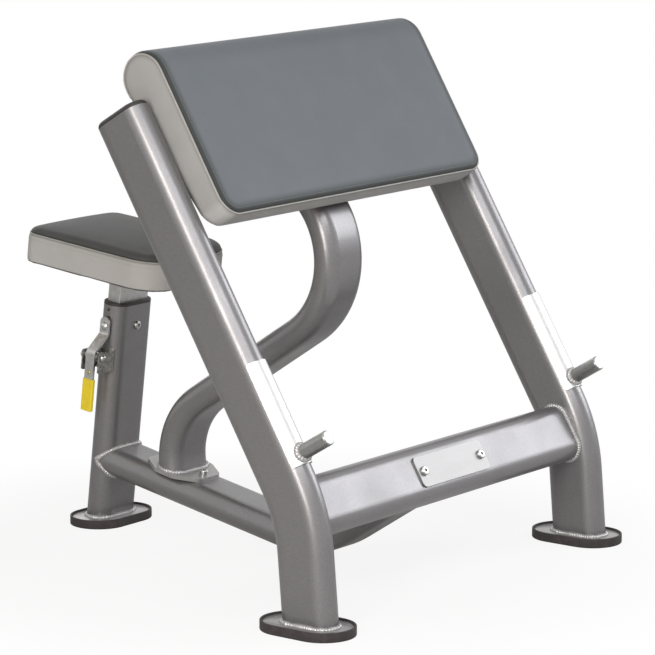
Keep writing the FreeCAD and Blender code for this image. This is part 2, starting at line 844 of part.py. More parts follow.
def lever_grip():
    height = grip_top - grip_bottom
    centre = V(bar_inner_x - lever_thickness / 2, 0, grip_bottom)
    outline = rectangle(centre, ACROSS, BACK, grip_thickness, grip_width, grip_round)
    grip = prism(outline, UP * height)
    low = [edge for edge in grip.Edges if edge.BoundBox.ZMax < grip_bottom + grip_round]
    return on_post(grip.makeFillet(grip_end_round, low).cut(lever_blank()))


def lock_pin():
    """Pin riveted in the lever's tab, ending just short of the seat tube."""
    tab_outer_x = tab_inner_x - lever_thickness
    length = pin_start_x - tab_outer_x
    shank = rod(V(tab_outer_x, 0, pin_height), ACROSS, length, pin_diameter)
    nose = [edge for edge in shank.Edges if edge.BoundBox.XMin > pin_start_x - pin_end_gap]
    shank = shank.makeChamfer(pin_chamfer, nose)
    ball_radius = (pin_head_diameter ** 2 / 4 + pin_head_height ** 2) / (2 * pin_head_height)
    ball = Part.makeSphere(ball_radius, V(tab_outer_x - pin_head_height + ball_radius, 0, pin_height))
    head_start = V(tab_outer_x - pin_head_height, 0, pin_height)
    head = ball.common(rod(head_start, ACROSS, pin_head_height, pin_head_diameter))
    return on_post(shank.fuse(head).removeSplitter())


def biarc(start, start_way, end, end_way):
    """Two tangent arcs that join two points with given directions."""
    span = end - start
    ways = start_way + end_way
    bend = 2 * (1 - start_way.dot(end_way))
    mix = span.dot(ways)
    reach = (math.sqrt(mix ** 2 + bend * span.dot(span)) - mix) / bend
    first = start + start_way * reach
    second = end - end_way * reach
    joint = (first + second) * 0.5
    edges = []
    for a, tip, b in ((start, first, joint), (joint, second, end)):
        chord_middle = (a + b) * 0.5
        height = (tip - chord_middle).Length
        half = (b - a).Length / 2
        sagitta = half * math.tan(math.atan2(height, half) / 2)
        edges.append(arc(a, chord_middle + unit(tip - chord_middle) * sagitta, b))
    return edges


spring_radius = sleeve_diameter / 2 + spring_gap + spring_wire / 2


def spring_point(turns):
    """Point and direction on the spring's helix around the pivot."""
    turn = 2 * math.pi * turns
    aside = -lever_width / 2 - spring_gap - spring_wire / 2 - spring_pitch * turns
    place = pivot + V(spring_radius * math.sin(turn), aside, -spring_radius * math.cos(turn))
    rise = -spring_pitch / (2 * math.pi * spring_radius)
    return place, unit(V(math.cos(turn), rise, math.sin(turn)))


def spring_path():
    steps = round(spring_turns * 4)
    stations = [spring_point(step / 4) for step in range(steps + 1)]
    first, first_way = stations[0]
    last, last_way = stations[-1]
    edges = [line(first - first_way * spring_leg, first)]
    for (a, a_way), (b, b_way) in zip(stations, stations[1:]):
        edges += biarc(a, a_way, b, b_way)
    edges.append(line(last, last + last_way * spring_leg))
    return Part.Wire(edges)


def lever_spring():
    """Return spring wound beside the lever on the pivot sleeve."""
    path = spring_path()
    start = path.OrderedVertexes[0].Point
    way = spring_point(0)[1]
    ring = Part.Wire([Part.makeCircle(spring_wire / 2, start, way)])
    coil = path.makePipeShell([ring], True, False)
    marks = path.discretize(Number=400)
    near = round(len(marks) * spring_radius * math.pi / path.Length)
    apart = min((a - b).Length for i, a in enumerate(marks) for b in marks[i + near:])
    print("spring least gap to itself %.2f mm" % (apart - spring_wire))
    return on_post(coil)


# Seat group, drawn in the post's frame at its lowest setting
def seat_tube():
    base = V(0, 0, seat_tube_bottom)
    outline = rectangle(base, ACROSS, BACK, seat_tube_wide, seat_tube_deep, seat_tube_corner)
    bore = rectangle(base, ACROSS, BACK, seat_tube_wide - 2 * seat_tube_wall,
                     seat_tube_deep - 2 * seat_tube_wall, seat_tube_corner / 2)
    length = seat_bottom - seat_plate_thickness - seat_tube_bottom
    tube = prism(outline, UP * length).cut(prism(bore, UP * length))
    for step in range(seat_hole_count):
        start = V(-seat_tube_wide / 2 - cut_overrun, 0, pin_height - step * seat_hole_pitch)
        tube = tube.cut(rod(start, ACROSS, seat_tube_wall + 2 * cut_overrun, seat_hole_diameter))
    return on_post(tube)


def seat_outline(height, inset, draw=0):
    """Seat outline, narrower at the front, at a height and drawn inwards by inset."""
    rear = seat_rear_width / 2 - inset
    front = seat_front_width / 2 - inset
    back = seat_shift + seat_length / 2 - inset
    ahead = seat_shift - seat_length / 2 + inset
    points = [V(rear, back, height), V(-rear, back, height), V(-front, ahead, height), V(front, ahead, height)]
    rear_round = seat_rear_corner - inset * seat_rear_corner / seat_rear_width
    front_round = seat_front_corner - inset * seat_front_corner / seat_front_width
    return rounded(points, [rear_round, rear_round, front_round, front_round], draw)


def seat_screw_places():
    half_x = seat_plate_width / 2 - seat_screw_inset
    half_y = seat_plate_length / 2 - seat_screw_inset
    return [V(x * half_x, y * half_y, seat_bottom - seat_plate_thickness) for x in (-1, 1) for y in (-1, 1)]


def seat_mount_plate():
    base = V(0, 0, seat_bottom - seat_plate_thickness)
    outline = rectangle(base, ACROSS, BACK, seat_plate_width, seat_plate_length, seat_plate_corner)
    plate = prism(outline, UP * seat_plate_thickness)
    for place in seat_screw_places():
        length = seat_plate_thickness + 2 * cut_overrun
        plate = plate.cut(rod(place - UP * cut_overrun, UP, length, screw_diameter + bolt_hole_gap))
    return on_post(plate)


def seat_board():
    board = prism(seat_outline(seat_bottom, seat_board_margin), UP * seat_board_thickness)
    depth = seat_plate_thickness + thread_grip
    for place in seat_screw_places():
        board = board.cut(rod(place, UP, depth, screw_diameter + bolt_hole_gap))
    return on_post(board)


def seat_cushion():
    band = Part.makeLoft([seat_outline(seat_bottom, 0, seat_draw),
                          seat_outline(seat_bottom + seat_band, 0, seat_draw)], True, True)
    seam = seat_bottom + seat_band
    crown = Part.makeLoft([seat_outline(seam, 0, seat_draw),
                           seat_outline(seam + seat_shoulder, seat_shoulder_inset, seat_draw),
                           seat_outline(seam + seat_crown, seat_top_inset, seat_draw)], True, False)
    body = band.fuse(crown).removeSplitter()
    depth = seat_board_thickness + seat_board_fit + cut_overrun
    pocket = prism(seat_outline(seat_bottom - cut_overrun, seat_board_margin - seat_board_fit), UP * depth)
    return on_post(body.cut(pocket))


def seat_screws():
    grip = seat_plate_thickness + thread_grip - bolt_hole_gap
    screws = [button_screw(place, UP * -1, ACROSS, grip) for place in seat_screw_places()]
    return on_post(Part.Compound(screws))


SIDES = {"left": -1, "right": 1}


def bench():
    """Every sub-part by its node name."""
    nodes = {}
    for name, side in SIDES.items():
        nodes[name + "_leg"] = leg(side)
        nodes[name + "_leg_cap"] = leg_cap(side)
        nodes[name + "_bar_saddle"] = bar_saddle(side)
        nodes[name + "_bar_peg"] = bar_peg(side)
    for name in FEET:
        nodes[name + "_foot_plate"] = foot_plate(name)
        nodes[name + "_rubber_foot"] = rubber_foot(name)
    makers = (crossbeam, base_beam, seat_post, post_bushing, bushing_screw, support_tube, support_flange,
              flange_bolts, pad_mount_plate, pad_bolts, arm_pad_board, arm_pad_cushion, name_plate,
              name_plate_screws, lever_bracket, pivot_bolt, pivot_nut, lever_spring, lever, lever_sleeve,
              lever_grip, lock_pin, seat_tube, seat_mount_plate, seat_board, seat_cushion, seat_screws)
    for maker in makers:
        nodes[maker.__name__] = maker()
    return nodes


os.makedirs("parts", exist_ok=True)
for node, shape in bench().items():
    shape.exportStep("parts/" + node + ".step")
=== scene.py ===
import math
import bmesh
import bpy
from mathutils import Matrix, Vector
from mathutils.bvhtree import BVHTree


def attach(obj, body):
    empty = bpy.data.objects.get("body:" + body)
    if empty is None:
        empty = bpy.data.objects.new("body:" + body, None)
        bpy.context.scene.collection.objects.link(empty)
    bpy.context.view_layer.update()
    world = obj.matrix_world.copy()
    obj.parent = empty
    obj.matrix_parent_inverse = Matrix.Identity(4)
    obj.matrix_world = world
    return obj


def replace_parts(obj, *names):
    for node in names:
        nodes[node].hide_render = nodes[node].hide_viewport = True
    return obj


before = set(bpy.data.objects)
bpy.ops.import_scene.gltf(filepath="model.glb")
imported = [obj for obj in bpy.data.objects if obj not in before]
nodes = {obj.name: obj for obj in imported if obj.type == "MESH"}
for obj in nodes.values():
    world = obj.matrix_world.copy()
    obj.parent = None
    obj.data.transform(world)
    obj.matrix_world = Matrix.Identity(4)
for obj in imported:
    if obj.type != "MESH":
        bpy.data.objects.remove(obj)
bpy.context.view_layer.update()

# Preacher curl bench: painted flat-oval tube frame, upholstered arm pad and seat, plated bar
# rests and a spring lever. Metres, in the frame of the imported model.

scene = bpy.context.scene
scene.view_settings.view_transform = "Standard"

MM = 0.001
ACROSS = Vector((1, 0, 0))
BACK = Vector((0, 1, 0))


def leaning(angle):
    """Upward direction in the middle plane, leaning towards the seat by angle degrees."""
    return Vector((0, math.sin(math.radians(angle)), math.cos(math.radians(angle))))


def local_frame(origin, along):
    """Place of a leaning piece's own axes: X across, Z along it, Y behind it."""
    behind = along.cross(ACROSS)
    turn = Matrix((ACROSS, behind, along)).transposed().to_4x4()
    return Matrix.Translation(origin) @ turn


# The main places of the bench, in metres and degrees
TUBE_WIDE = 0.100
TUBE_NARROW = 0.050
TUBE_FLAT_HALF = (TUBE_WIDE - TUBE_NARROW) / 2
LEG_X = 0.385
LEG_LEAN = 31.1
LEG_WAY = leaning(LEG_LEAN)
LEG_BEND = Vector((0, -0.371383, 0.188))
POST_FOOT = Vector((0, 0.365, 0))
POST_WAY = leaning(-6.8)
BEAM_REAR = Vector((0, 0.3507, 0.1200))
BEAM_WAY = leaning(79.1)
PAD_PLACE = local_frame(LEG_BEND, LEG_WAY)
PLATE_PLACE = local_frame(Vector((0, -0.1561, 0.6151)), leaning(39.0))
POST_PLACE = local_frame(POST_FOOT, POST_WAY)
LEG_FRONT = PAD_PLACE.to_3x3() @ -BACK
POST_BACK = POST_PLACE.to_3x3() @ BACK
BEAM_TOP = ACROSS.cross(BEAM_WAY)


# Shader nodes

def srgb(colour):
    """Linear colour of an sRGB hex value."""
    channels = [int(colour[i:i + 2], 16) / 255 for i in (1, 3, 5)]
    linear = [c / 12.92 if c <= 0.04045 else ((c + 0.055) / 1.055) ** 2.4 for c in channels]
    return (*linear, 1.0)


def add(tree, kind, inputs=None, **settings):
    """One shader node: settings are its own, inputs are values or sockets to link."""
    node = tree.nodes.new("ShaderNode" + kind)
    for key, value in settings.items():
        setattr(node, key, value)
    for key, value in (inputs or {}).items():
        if isinstance(value, bpy.types.NodeSocket):
            tree.links.new(value, node.inputs[key])
        else:
            node.inputs[key].default_value = value
    return node


def noise(tree, where, size, detail, **more):
    """Cloudy pattern with patches of a size."""
    return add(tree, "TexNoise", {"Vector": where, "Scale": 1 / size, "Detail": detail, **more}).outputs["Fac"]


def ramp(tree, value, start, end, low, high, smooth=False):
    """Carries the span from start to end over to low to high."""
    kind = "SMOOTHSTEP" if smooth else "LINEAR"
    span = {0: value, 1: start, 2: end, 3: low, 4: high}
    return add(tree, "MapRange", span, interpolation_type=kind).outputs[0]


def blend(tree, share, *ends):
    """Colour between two, each a hex value or a socket."""
    first, second = [srgb(end) if isinstance(end, str) else end for end in ends]
    return add(tree, "Mix", {0: share, 6: first, 7: second}, data_type="RGBA").outputs[2]


def reckon(tree, operation, *values):
    """Sum or other reckoning on one or two values."""
    return add(tree, "Math", dict(enumerate(values)), operation=operation).outputs[0]


def relief(tree, height, strength, depth, **more):
    """Normal of a surface raised by a pattern."""
    return add(tree, "Bump", {"Height": height, "Strength": strength, "Distance": depth, **more}).outputs[0]


def near_edge(tree, reach, most):
    """Share that rises to most on a piece's sharp edges."""
    rounded = add(tree, "Bevel", {"Radius": reach}, samples=4).outputs[0]
    flat = add(tree, "NewGeometry").outputs["Normal"]
    turned = add(tree, "VectorMath", {0: rounded, 1: flat}, operation="DOT_PRODUCT").outputs["Value"]
    return ramp(tree, turned, 0.75, 0.97, most, 0.0)


def finish(name, **values):
    """New material with one surface shader and the piece's own coordinates."""
    material = bpy.data.materials.new(name)
    material.use_nodes = True
    tree = material.node_tree
    shader = tree.nodes["Principled BSDF"]
    for key, value in values.items():
        shader.inputs[key.replace("_", " ")].default_value = value
    where = add(tree, "TexCoord").outputs["Object"]
    return material, tree, shader, where


def dress(tree, shader, **sockets):
    """Links sockets to the surface shader's inputs of the same names."""
    for key, socket in sockets.items():
        tree.links.new(socket, shader.inputs[key.replace("_", " ")])


# Finishes

def silver_powder_coat(name, dark, light, thin_paint_and_highlight):
    # Metallic powder coat on steel tube: fine aluminium flake under a thin clear film, with the
    # soft orange peel of baked powder. The flake is drawn at 1.1 mm, coarser than the real one.
    material, tree, shader, where = finish(name, Metallic=0.52, Coat_Weight=0.2, Coat_Roughness=0.12)
    flake = add(tree, "TexVoronoi", {"Vector": where, "Scale": 1 / (1.1 * MM)}).outputs["Color"]
    cloud = noise(tree, where, 70 * MM, 4.0)
    peel = noise(tree, where, 2.4 * MM, 1.5)
    spark = blend(tree, flake, dark, light)
    tone = blend(tree, ramp(tree, cloud, 0.3, 0.7, 0.0, 0.35), spark, dark)
    # Sharp edges painted lighter: partly paint that runs thin there, partly a painted highlight.
    wear_and_painted_light = blend(tree, near_edge(tree, 1.6 * MM, 0.6), tone, thin_paint_and_highlight)
    dress(tree, shader, Base_Color=wear_and_painted_light, Roughness=ramp(tree, cloud, 0.3, 0.7, 0.30, 0.38),
          Normal=relief(tree, peel, 0.14, 0.25 * MM))
    return material


def plated_steel(name, light, dark, spangle, low, high, edge_shade=None):
    # Electroplated steel: crystals of the plating give faint patches of tone and gloss, the rolled
    # surface below leaves fine scratches, and, where a shade colour is given, sharp edges get painted shade.
    material, tree, shader, where = finish(name, Metallic=1.0)
    crystal = add(tree, "TexVoronoi", {"Vector": where, "Scale": 1 / spangle}).outputs["Color"]
    scratch = noise(tree, where, 0.7 * MM, 3.0)
    tone = blend(tree, crystal, dark, light)
    if edge_shade:
        # Painted shade on the sharp edges.
        tone = blend(tree, near_edge(tree, 2.2 * MM, 0.95), tone, edge_shade)
    dress(tree, shader, Base_Color=tone, Roughness=ramp(tree, crystal, 0.0, 1.0, low, high),
          Normal=relief(tree, scratch, 0.08, 0.1 * MM))
    return material


def moulded(name, colour, wear_and_painted_light, grit, rough, depth):
    # Moulded or dipped polymer: an even body colour, a fine texture from the mould and paler
    # scuffs where it is handled or stood on.
    material, tree, shader, where = finish(name)
    grain = noise(tree, where, grit, 2.0)
    scuff = noise(tree, where, 14 * MM, 5.0, Roughness=0.65)
    tone = blend(tree, ramp(tree, scuff, 0.48, 0.78, 0.0, 0.7), colour, wear_and_painted_light)
    dress(tree, shader, Base_Color=tone, Roughness=ramp(tree, scuff, 0.3, 0.7, rough - 0.06, rough + 0.08),
          Normal=relief(tree, grain, depth, 0.3 * MM))
    return material


def along_plate(tree, where, long, fine):
    """Coordinates stretched across the bench, turned to lie in a leaning plate."""
    return add(tree, "Mapping", {"Vector": where, "Rotation": (math.radians(LEG_LEAN), 0, 0),
                                 "Scale": (1 / long, 1 / fine, 1 / fine)}).outputs[0]


def satin_aluminium():
    # Bare aluminium sheet, brushed lengthways: hair lines 0.5 mm apart along the plate, and painted
    # shade round its edges, where its thickness and the gap under it lie in shade.
    material, tree, shader, where = finish("satin_aluminium", Metallic=0.85)
    hair = noise(tree, along_plate(tree, where, 45 * MM, 0.5 * MM), 1.0, 3.0)
    sheet = blend(tree, hair, "#868584", "#A2A1A0")
    # Painted shade on the sharp edges.
    tone = blend(tree, near_edge(tree, 2.2 * MM, 0.9), sheet, "#4C4A49")
    dress(tree, shader, Base_Color=tone, Roughness=ramp(tree, hair, 0.2, 0.8, 0.36, 0.52),
          Normal=relief(tree, hair, 0.1, 0.1 * MM))
    return material


def birch_plywood():
    # Birch plywood: long pale figure on the sanded face, with short darker pores along it.
    material, tree, shader, where = finish("birch_plywood", Roughness=0.62)
    grain = along_plate(tree, where, 160 * MM, 14 * MM)
    figure = noise(tree, grain, 1.0, 4.0, Distortion=0.4)
    pore = noise(tree, grain, 1 / 9, 2.0)
    veneer = blend(tree, figure, "#C6AB83", "#D9C29C")
    tone = blend(tree, ramp(tree, pore, 0.58, 0.72, 0.0, 0.4), veneer, "#A78A62")
    dress(tree, shader, Base_Color=tone, Normal=relief(tree, pore, 0.15, 0.2 * MM))
    return material


def upholstery_vinyl(name, place, panel, band, border, shade_reach, dark_bottom=None):
    # Upholstery vinyl over foam: pressed leather grain, soft sheen, a darker panel sewn to a light
    # band, painted shade in the seam and where the panel rolls over towards it, and, for the seat, a
    # darker strip along the band's bottom. The grain is drawn at 1.8 mm, coarser than the real one.
    # border builds the distance from the seam, below zero on the panel, from the piece's own axes.
    material, tree, shader, where = finish(name, Sheen_Weight=0.1, Sheen_Roughness=0.4, Specular_IOR_Level=0.25)
    shift, turn, _ = place.inverted().decompose()
    own = add(tree, "Mapping", {"Vector": where, "Location": shift, "Rotation": turn.to_euler()})
    axes = add(tree, "SeparateXYZ", {0: own.outputs[0]}).outputs
    seam = border(tree, axes)
    cloud = noise(tree, where, 90 * MM, 5.0, Roughness=0.6)
    crinkle = noise(tree, where, 9 * MM, 3.0)
    grain = add(tree, "TexVoronoi", {"Vector": where, "Scale": 1 / (1.8 * MM), "Randomness": 0.9},
                feature="SMOOTH_F1").outputs["Distance"]
    drift = ramp(tree, cloud, 0.3, 0.7, 0.0, 1.0)
    # Painted shade on the panel where it rolls over towards the seam.
    roll_shade = ramp(tree, seam, -shade_reach, -1 * MM, 0.0, 0.95, smooth=True)
    rolled = blend(tree, roll_shade, blend(tree, drift, *panel), "#2F3330")
    side = ramp(tree, seam, -0.4 * MM, 0.4 * MM, 0.0, 1.0)
    cover = blend(tree, side, rolled, blend(tree, drift, *band))
    # Painted shade in the sewn groove of the seam.
    seam_shade = ramp(tree, reckon(tree, "ABSOLUTE", seam), 0.5 * MM, 5 * MM, 0.55, 0.0, smooth=True)
    wear_and_painted_light = blend(tree, seam_shade, cover, "#3A3633")
    if dark_bottom:
        # Darker along the band's lowest few millimetres.
        low = ramp(tree, axes[2], dark_bottom + 3 * MM, dark_bottom + 4.5 * MM, 1.0, 0.0)
        wear_and_painted_light = blend(tree, low, wear_and_painted_light, "#4B4744")
    press = relief(tree, ramp(tree, grain, 0.0, 0.8, 1.0, 0.0), 0.22, 0.3 * MM)
    dress(tree, shader, Base_Color=wear_and_painted_light, Roughness=ramp(tree, grain, 0.0, 0.8, 0.52, 0.62),
          Normal=relief(tree, crinkle, 0.12, 0.6 * MM, Normal=press))
    return material


def sewing_thread(name, colour, twist):
    # Twisted polyester thread: a lustrous strand with darker turns of its twist.
    material, tree, shader, where = finish(name, Roughness=0.5)
    ply = noise(tree, where, 0.8 * MM, 1.0)
    dress(tree, shader, Base_Color=blend(tree, ply, twist, colour), Normal=relief(tree, ply, 0.3, 0.1 * MM))
    return material


# Upholstery sizes, in metres in the pad's and the seat's own axes
PAD_HALF = 0.3575
PAD_LOW = 0.477
PAD_FRONT = 0.0905
PAD_ROLL = 0.046
PAD_ROLL_Z = 0.745
PAD_ROLL_Y = PAD_ROLL - PAD_FRONT
PAD_LOW_BACK = -0.0365
PAD_CORNER = 0.033
PAD_RIM = 0.009
PAD_SEAM = 0.0035
PAD_SEAM_HALF = PAD_HALF - PAD_SEAM
PAD_SEAM_LOW = PAD_LOW + PAD_SEAM
PAD_CROWN = 0.0045
PAD_BOARD_TOP = 0.242
SEAT_LOW = 0.462
SEAT_BAND = 0.052
SEAT_SEAM = SEAT_LOW + SEAT_BAND
SEAT_SHOULDER = 0.007
SEAT_CROWN = 0.010
SEAT_BACK = 0.150
SEAT_AHEAD = -0.144
SEAT_REAR_HALF = 0.1235
SEAT_FRONT_HALF = 0.111
SEAT_REAR_CORNER = 0.030
SEAT_FRONT_CORNER = 0.056
BOARD_DIP = 0.0025


def pad_border(tree, axes):
    """Distance from the pad's seam: a rounded frame just inside the front panel's outline."""
    beside = reckon(tree, "ABSOLUTE", axes[0])
    out = reckon(tree, "SUBTRACT", beside, PAD_SEAM_HALF - PAD_CORNER)
    down = reckon(tree, "SUBTRACT", PAD_SEAM_LOW + PAD_CORNER, axes[2])
    both = add(tree, "CombineXYZ", {0: out, 1: down}).outputs[0]
    past = add(tree, "VectorMath", {0: both, 1: (0, 0, 0)}, operation="MAXIMUM").outputs[0]
    reach = add(tree, "VectorMath", {0: past}, operation="LENGTH").outputs["Value"]
    return reckon(tree, "SUBTRACT", reach, PAD_CORNER)


def seat_border(tree, axes):
    """Distance from the seat's seam, which runs level round its upper edge."""
    return reckon(tree, "SUBTRACT", SEAT_SEAM, axes[2])


PANEL_GREY = ("#6F7579", "#75797D")
BAND_GREY = ("#B9B7B4", "#C3C1BE")
SEAT_GREY = ("#4C4C4C", "#565656")

paint = silver_powder_coat("silver_powder_coat", "#787677", "#8B898A", "#B4B2B1")
# Lighter copies of the same powder coat: painted light on the plates' upward faces and painted highlights on the
# rippled weld beads.
lit_plate_paint = silver_powder_coat("powder_coat_painted_light_on_plate", "#949292", "#B0AEAD", "#CAC8C6")
lit_bead_paint = silver_powder_coat("powder_coat_painted_light_on_welds", "#9A9898", "#C4C2C1", "#CCCAC8")
zinc = plated_steel("bright_zinc", "#C9C9C6", "#A9A9A7", 3 * MM, 0.22, 0.36)
galvanised = plated_steel("galvanised_steel", "#A9A6A2", "#6E6B68", 5 * MM, 0.34, 0.5)
satin_zinc = plated_steel("satin_zinc", "#C6C5C3", "#B2B1AF", 6 * MM, 0.38, 0.48)
bright_plate = plated_steel("nickel_plate", "#D0D0CE", "#CACAC8", 8 * MM, 0.36, 0.42, "#403F3E")
turned_steel = plated_steel("turned_steel", "#9E9E9C", "#949492", 4 * MM, 0.3, 0.36, "#3C3C3B")
spring_wire = plated_steel("oiled_spring_wire", "#6F6C69", "#4D4A48", 2 * MM, 0.3, 0.45)
brass = plated_steel("brass_rivet", "#C9B26A", "#A08A48", 2 * MM, 0.25, 0.4)
rubber = moulded("black_rubber", "#332D2D", "#544D4D", 0.9 * MM, 0.72, 0.35)
plastic = moulded("black_polyethylene", "#2B2627", "#423C3C", 1.2 * MM, 0.5, 0.2)
yellow_dip = moulded("yellow_dipped_vinyl", "#FADF30", "#E8CB34", 1.5 * MM, 0.36, 0.12)
aluminium = satin_aluminium()
plywood = birch_plywood()
pad_vinyl = upholstery_vinyl("blue_grey_vinyl", PAD_PLACE, PANEL_GREY, BAND_GREY, pad_border, 22 * MM)
seat_vinyl = upholstery_vinyl("dark_grey_vinyl", POST_PLACE, SEAT_GREY, BAND_GREY, seat_border, 5 * MM, SEAT_LOW)
grey_thread = sewing_thread("grey_thread", "#8D8F90", "#5E6062")
pale_thread = sewing_thread("pale_thread", "#BFBDB8", "#8B8985")
welt_vinyl = moulded("welt_vinyl", "#B2B0AB", "#9C9A95", 1.2 * MM, 0.42, 0.2)

FINISHES = {
    paint: ["left_leg", "right_leg", "crossbeam", "base_beam", "seat_post", "support_tube", "pad_mount_plate",
            "seat_mount_plate"],
    lit_plate_paint: ["left_foot_plate", "right_foot_plate", "rear_foot_plate", "support_flange"],
    zinc: ["flange_bolts", "pad_bolts", "bushing_screw", "pivot_bolt", "pivot_nut", "name_plate_screws",
           "seat_screws", "lock_pin", "lever_sleeve"],
    satin_zinc: ["lever", "seat_tube"],
    galvanised: ["lever_bracket"],
    bright_plate: ["left_bar_saddle", "right_bar_saddle"],
    turned_steel: ["left_bar_peg", "right_bar_peg"],
    spring_wire: ["lever_spring"],
    rubber: ["left_rubber_foot", "right_rubber_foot", "rear_rubber_foot"],
    plastic: ["left_leg_cap", "right_leg_cap", "post_bushing"],
    yellow_dip: ["lever_grip"],
    aluminium: ["name_plate"],
    plywood: ["arm_pad_board", "seat_board"],
    pad_vinyl: ["arm_pad_cushion"],
    seat_vinyl: ["seat_cushion"],
}
for material, names in FINISHES.items():
    for name in names:
        nodes[name].data.materials.clear()
        nodes[name].data.materials.append(material)


# Pieces

def as_mesh(name, shape):
    """Mesh of a finished shape."""
    mesh = bpy.data.meshes.new(name)
    shape.to_mesh(mesh)
    shape.free()
    return mesh


def place_piece(name, data, body, slot, material):
    """Object for a finished mesh or curve, riding on a body."""
    piece = bpy.data.objects.new(name, data)
    scene.collection.objects.link(piece)
    data.materials.append(material)
    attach(piece, body)
    return piece


def verts_among(geom):
    """Vertices among what an operator made."""
    return [v for v in geom if isinstance(v, bmesh.types.BMVert)]


def draw_out(shape, faces, way):
    """Extrudes faces along way."""
    made = bmesh.ops.extrude_face_region(shape, geom=faces)
    bmesh.ops.translate(shape, verts=verts_among(made["geom"]), vec=way)


def face_out(shape):
    """Turns a closed shape's faces outwards."""
    bmesh.ops.recalc_face_normals(shape, faces=shape.faces[:])


def round_off(shape, geom, size, segments, affect="EDGES"):
    """Rounds edges or corners of a shape."""
    bmesh.ops.bevel(shape, geom=geom, offset=size, affect=affect, segments=segments, profile=0.5, material=-1)


# Cushions

def ease(value, low, high):
    """Zero up to low, one from high on, smooth between."""
    share = min(max((value - low) / (high - low), 0.0), 1.0)
    return share * share * (3 - 2 * share)


def crown(value, low, high):
    """One in the middle of a span, falling to zero at its ends."""
    share = (value - (low + high) / 2) / ((high - low) / 2)
    return max(0.0, 1 - share * share)


def groove(gap, depth, spread):
    """Depth of a sewn groove at a distance from its seam."""
    return depth * math.exp(-(gap / spread) ** 2)


def rounded_inset(beside, along, corner):
    """Distance inside two edges that meet in a round corner, from the distance inside each."""
    return corner - math.hypot(max(corner - beside, 0.0), max(corner - along, 0.0))


def settle(piece):
    """Takes what the piece's modifiers give as its own mesh."""
    shown = piece.evaluated_get(bpy.context.evaluated_depsgraph_get())
    mesh = bpy.data.meshes.new_from_object(shown)
    piece.modifiers.clear()
    piece.data = mesh


CLOTH_STEPS = 20


def stuffed(name, shape, voxel, held, pull, cap):
    """Foam under its cover: an even mesh of the shape, blown out where its cover isn't held."""
    piece = bpy.data.objects.new(name, as_mesh(name, shape))
    scene.collection.objects.link(piece)
    piece.modifiers.new("even_mesh", "REMESH").voxel_size = voxel
    settle(piece)
    for vertex in piece.data.vertices:
        vertex.co = pull(vertex.co)
    grip = piece.vertex_groups.new(name="held")
    hold = [held(vertex.co) for vertex in piece.data.vertices]
    for index, share in enumerate(hold):
        grip.add([index], share, "REPLACE")
    rest = [vertex.co.copy() for vertex in piece.data.vertices]
    cloth = piece.modifiers.new("cover", "CLOTH")
    cover = cloth.settings
    cover.quality = 5
    cover.tension_stiffness = 20
    cover.compression_stiffness = 20
    cover.shear_stiffness = 8
    cover.bending_stiffness = 6
    cover.use_pressure = True
    cover.uniform_pressure_force = 0.6
    cover.effector_weights.gravity = 0
    cover.vertex_group_mass = "held"
    cloth.collision_settings.use_collision = False
    for step in range(1, CLOTH_STEPS + 1):
        scene.frame_set(step)
    settle(piece)
    scene.frame_set(1)
    moves = [vertex.co - start for vertex, start in zip(piece.data.vertices, rest)]
    longest = max(move.length for move in moves)
    for vertex, start, move, share in zip(piece.data.vertices, rest, moves, hold):
        vertex.co = start + move * ((1 - share) * min(1.0, cap / longest))
    return piece


def finish_cushion(piece, place, crease, material):
    """Draws in the seam, rounds the mesh once and puts the cushion in its place."""
    mesh = piece.data
    mesh.update()
    deep = [vertex.co - vertex.normal * crease(vertex.co) for vertex in mesh.vertices]
    for vertex, spot in zip(mesh.vertices, deep):
        vertex.co = spot
    rounding = piece.modifiers.new("rounding", "SUBSURF")
    rounding.levels = rounding.render_levels = 1
    settle(piece)
    piece.data.shade_smooth()
    skin = BVHTree.FromPolygons([v.co for v in piece.data.vertices], [p.vertices for p in piece.data.polygons])
    piece.data.transform(place)
    piece.data.update()
    piece.data.materials.append(material)
    return skin


def pad_seam_gap(spot):
    """Distance past the pad's seam across its front, below zero on the panel."""
    return -rounded_inset(PAD_SEAM_HALF - abs(spot.x), spot.z - PAD_SEAM_LOW, PAD_CORNER)


